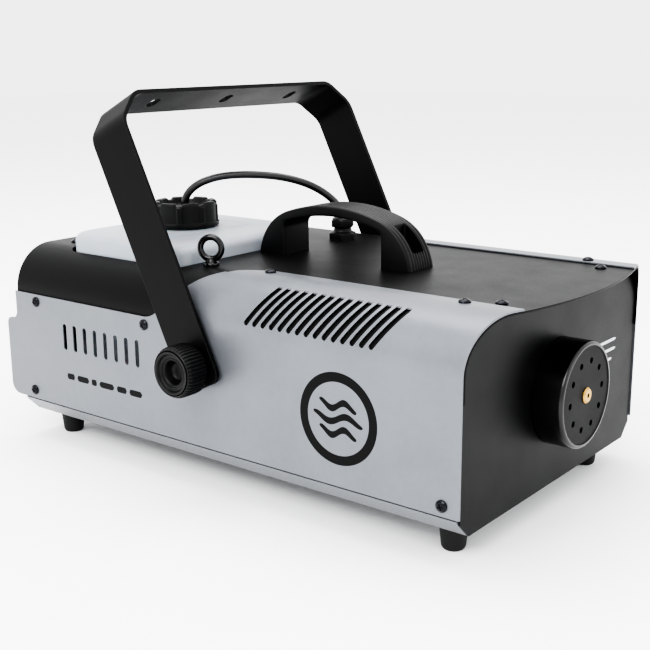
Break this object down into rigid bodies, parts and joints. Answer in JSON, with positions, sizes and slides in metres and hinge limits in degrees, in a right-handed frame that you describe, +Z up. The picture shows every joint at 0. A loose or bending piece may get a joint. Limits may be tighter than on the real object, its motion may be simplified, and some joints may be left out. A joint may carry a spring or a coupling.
{
  "type": "fog machine",
  "caption": "Sheet-metal stage fog machine with a visored front, round nozzle, rear fluid tank with screw cap and hose, carrying handle and tilting yoke.",
  "frame": {"origin": "on the floor, under the middle of the whole machine's outline", "axes": "+X out of the nozzle, +Z up, +Y to the left of someone who looks along +X"},
  "size_m": [0.458, 0.3072, 0.2827],
  "materials": {
    "grey_paint": "satin silver-grey powder coat on sheet steel",
    "black_paint": "satin black powder coat on sheet steel",
    "dark_sheet": "heat-proof black paint on a punched steel disc",
    "tank_plastic": "translucent natural blow-moulded polyethylene",
    "black_plastic": "black moulded nylon, fine texture",
    "rubber": "moulded black rubber",
    "hose_plastic": "black flexible tubing, satin",
    "ptfe_hose": "heat-proof white tubing",
    "zinc_steel": "zinc-plated steel",
    "black_steel": "gloss black forged steel",
    "brass": "turned brass",
    "heater_aluminium": "sand-cast aluminium",
    "lagging": "woven glass-fibre lagging",
    "pump_body": "moulded pump body with wound coil",
    "board_green": "glass-epoxy board with green solder resist",
    "component_black": "moulded component cases",
    "lamp_red": "clear red moulded lens"
  },
  "bodies": {
    "case": {"base_tray": "grey_paint", "board_bracket": "zinc_steel", "board_standoffs": "brass", "cap_gasket": "rubber", "carry_handle": "black_plastic", "control_board": "board_green", "cover_screws": "black_steel", "eye_bolt": "black_steel", "eye_nut": "zinc_steel", "fluid_hose": "hose_plastic", "fluid_tank": "tank_plastic", "foot_screws": "black_steel", "front_panel": "black_paint", "fuse_holder": "black_plastic", "gland_locknut": "black_plastic", "handle_screws": "black_steel", "heater_block": "heater_aluminium", "heater_cradles": "zinc_steel", "heater_inlet": "brass", "heater_lagging": "lagging", "heater_shield": "zinc_steel", "hose_gland": "black_plastic", "hose_grommet": "rubber", "nozzle_disc": "dark_sheet", "nozzle_guard": "black_paint", "nozzle_tip": "brass", "pickup_tube": "hose_plastic", "pivot_nuts": "zinc_steel", "pivot_plates": "zinc_steel", "pivot_spacers": "black_plastic", "power_inlet": "black_plastic", "pressure_hose": "ptfe_hose", "pump": "pump_body", "pump_bracket": "zinc_steel", "pump_mounts": "rubber", "rear_panel": "black_paint", "receiver_module": "component_black", "relay": "component_black", "remote_socket": "black_plastic", "rocker_frame": "black_plastic", "rubber_feet": "rubber", "side_cover_far": "grey_paint", "side_cover_near": "grey_paint", "status_lamp": "lamp_red", "strainer": "brass", "suction_hose": "hose_plastic", "terminal_block": "component_black", "thermostats": "heater_aluminium", "top_cover": "black_paint", "transformer": "component_black"},
    "yoke": {"yoke": "black_paint", "knob_washers": "zinc_steel"},
    "knob_near": {"knob_near": "black_plastic", "knob_stud_near": "zinc_steel"},
    "knob_far": {"knob_far": "black_plastic", "knob_stud_far": "zinc_steel"},
    "cap": {"tank_cap": "black_plastic"},
    "rocker": {"power_rocker": "black_plastic"},
    "fuse_cap": {"fuse_cap": "black_plastic"}
  },
  "joints": [
    {"name": "yoke_tilt", "type": "hinge", "parent": "case", "child": "yoke", "pos_m": [-0.009, 0, 0.0956], "axis": [0, 1, 0], "range_deg": [-36, 88]},
    {"name": "knob_near_turn", "type": "hinge", "parent": "case", "child": "knob_near", "pos_m": [-0.009, -0.1326, 0.0956], "axis": [0, -1, 0], "range_deg": [0, 720]},
    {"name": "knob_far_turn", "type": "hinge", "parent": "case", "child": "knob_far", "pos_m": [-0.009, 0.1326, 0.0956], "axis": [0, 1, 0], "range_deg": [0, 720]},
    {"name": "cap_turn", "type": "hinge", "parent": "case", "child": "cap", "pos_m": [-0.117, -0.028, 0.1825], "axis": [0, 0, 1], "range_deg": [0, 540]},
    {"name": "rocker_tip", "type": "hinge", "parent": "case", "child": "rocker", "pos_m": [-0.2138, 0.084, 0.1], "axis": [0, 0, 1], "range_deg": [-8, 8]},
    {"name": "fuse_cap_turn", "type": "hinge", "parent": "case", "child": "fuse_cap", "pos_m": [-0.2138, 0.036, 0.06], "axis": [-1, 0, 0], "range_deg": [0, 90]}
  ]
}
